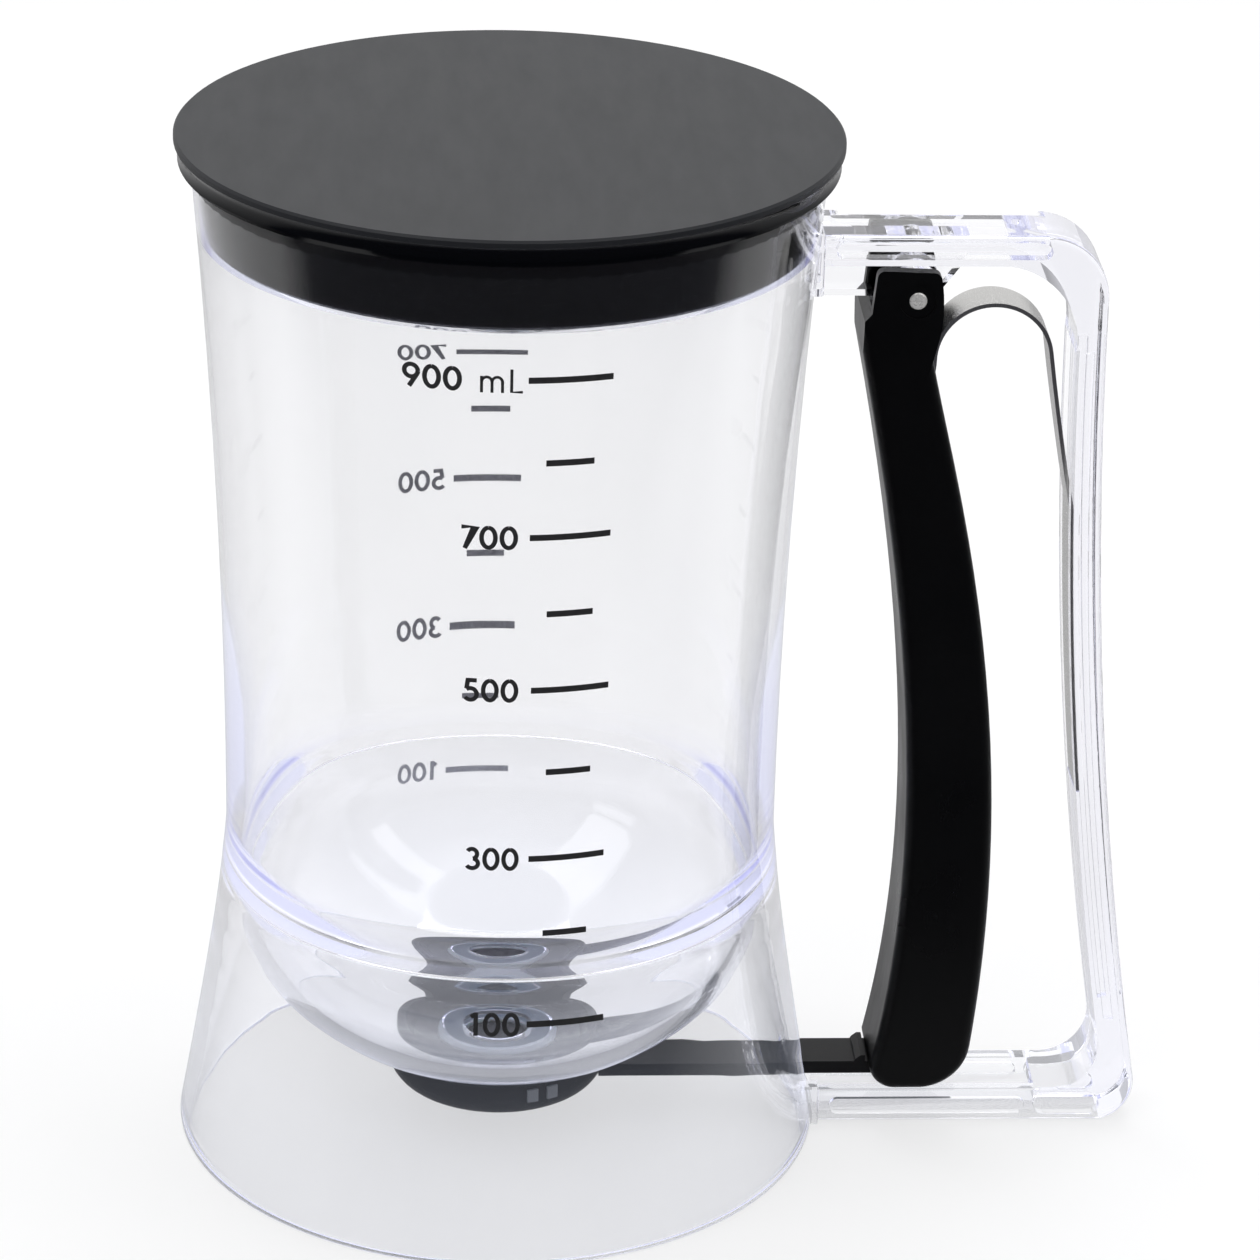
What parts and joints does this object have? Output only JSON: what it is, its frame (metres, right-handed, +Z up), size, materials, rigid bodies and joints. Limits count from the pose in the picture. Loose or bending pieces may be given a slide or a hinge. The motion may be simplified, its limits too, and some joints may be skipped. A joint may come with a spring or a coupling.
{
  "type": "pancake batter dispenser",
  "caption": "Clear hand-held batter dispenser with a graduated tank, lift-off dark lid, loop handle, sprung squeeze trigger and a swinging valve cup under its outlet.",
  "frame": {"origin": "on the tank axis, in the plane of the base rim that stands on the table", "axes": "+Z up along the tank axis, +X from the tank axis toward the handle, +Y completes the right-handed frame; the object mirrors in the plane y = 0 except for two small tabs on the valve cup"},
  "size_m": [0.1728, 0.1146, 0.186],
  "materials": {
    "clear_plastic": "polished clear",
    "lid_plastic": "fine matte",
    "black_plastic": "satin",
    "spring_steel": "rolled strip",
    "pin_metal": "turned",
    "silicone": "matte"
  },
  "bodies": {
    "housing": {"tank_wall": "clear_plastic", "hopper_bowl": "clear_plastic", "base_skirt": "clear_plastic", "handle_frame": "clear_plastic", "return_spring": "spring_steel"},
    "trigger": {"trigger_lever": "black_plastic", "pivot_pin": "pin_metal", "valve_arm": "black_plastic", "valve_seal": "silicone"},
    "lid": {"lid": "lid_plastic"}
  },
  "joints": [
    {"name": "trigger_hinge", "type": "hinge", "parent": "housing", "child": "trigger", "pos_m": [0.0689, 0, 0.1589], "axis": [0, -1, 0], "range_deg": [0, 8], "stiffness_Nm_per_rad": 2.5, "springref_deg": -3.44, "deforming": ["return_spring"]},
    {"name": "lid_lift", "type": "slide", "parent": "housing", "child": "lid", "axis": [0, 0, 1], "range_m": [0, 0.03]}
  ]
}
